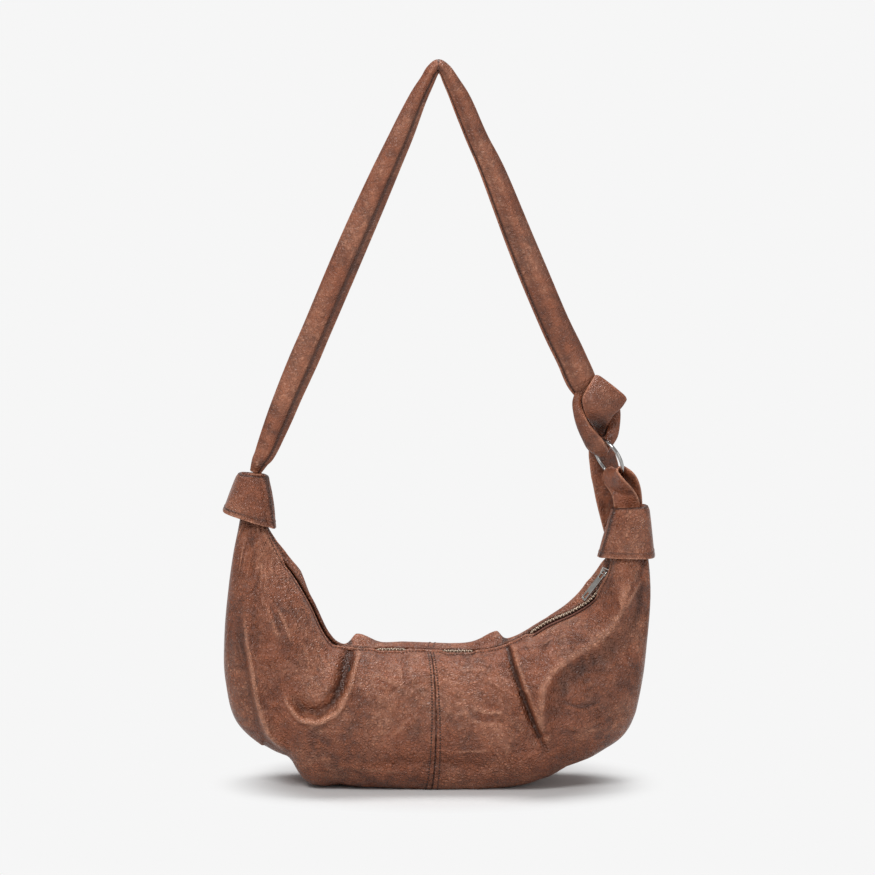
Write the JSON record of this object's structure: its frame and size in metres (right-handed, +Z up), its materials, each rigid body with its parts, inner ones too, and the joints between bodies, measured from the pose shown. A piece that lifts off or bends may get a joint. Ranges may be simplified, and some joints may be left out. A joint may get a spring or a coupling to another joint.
{
  "type": "dumpling bag",
  "caption": "Slouchy crescent shoulder bag in soft leather with a zip top, turned-down cuffs, and a long strap knotted through a metal ring.",
  "frame": {"origin": "on the floor under the middle of the bag", "axes": "+Z up, the viewer of the front looks along +Y, +X to the viewer's right"},
  "size_m": [0.4312, 0.1304, 0.7338],
  "materials": {
    "leather": "waxed pebble grain, mottled brown",
    "lining": "plain dark woven lining",
    "zip_tape": "woven tape",
    "zip_metal": "dark antique metal",
    "ring_metal": "polished nickel"
  },
  "bodies": {
    "bag": {"front_panel_left": "leather", "front_panel_right": "leather", "back_panel_left": "leather", "back_panel_right": "leather", "lining_front": "lining", "lining_back": "lining", "zip_tape_front": "zip_tape", "zip_tape_back": "zip_tape", "zip_teeth_front": "zip_metal", "zip_teeth_back": "zip_metal", "zip_bottom_stop": "zip_metal", "left_cuff": "leather", "right_cuff": "leather", "strap_root": "leather", "loop_root": "leather"},
    "slider": {"zip_slider": "zip_metal"},
    "pull": {"zip_pull": "zip_metal"},
    "strap": {"strap": "leather", "strap_knot": "leather", "strap_tail": "leather", "ring_loop": "leather"},
    "ring": {"ring": "ring_metal"}
  },
  "joints": [
    {"name": "zip_travel", "type": "hinge", "parent": "bag", "child": "slider", "pos_m": [0.0113, 0, 0.33138], "axis": [0, 1, 0], "range_deg": [0, 110], "deforming": ["zip_teeth_front", "zip_teeth_back", "zip_tape_front", "zip_tape_back"]},
    {"name": "pull_flip", "type": "hinge", "parent": "slider", "child": "pull", "pos_m": [0.16708, 0, 0.21524], "axis": [0, 1, 0], "range_deg": [0, 110]},
    {"name": "strap_swing", "type": "hinge", "parent": "bag", "child": "strap", "pos_m": [-0.18232, 0, 0.32002], "axis": [0.9958, 0, -0.0911], "range_deg": [-80, 80], "deforming": ["strap_tail"]},
    {"name": "ring_turn", "type": "hinge", "parent": "strap", "child": "ring", "pos_m": [0.17007, 0, 0.33038], "axis": [-0.7596, -0.5, -0.4159], "continuous": true}
  ]
}
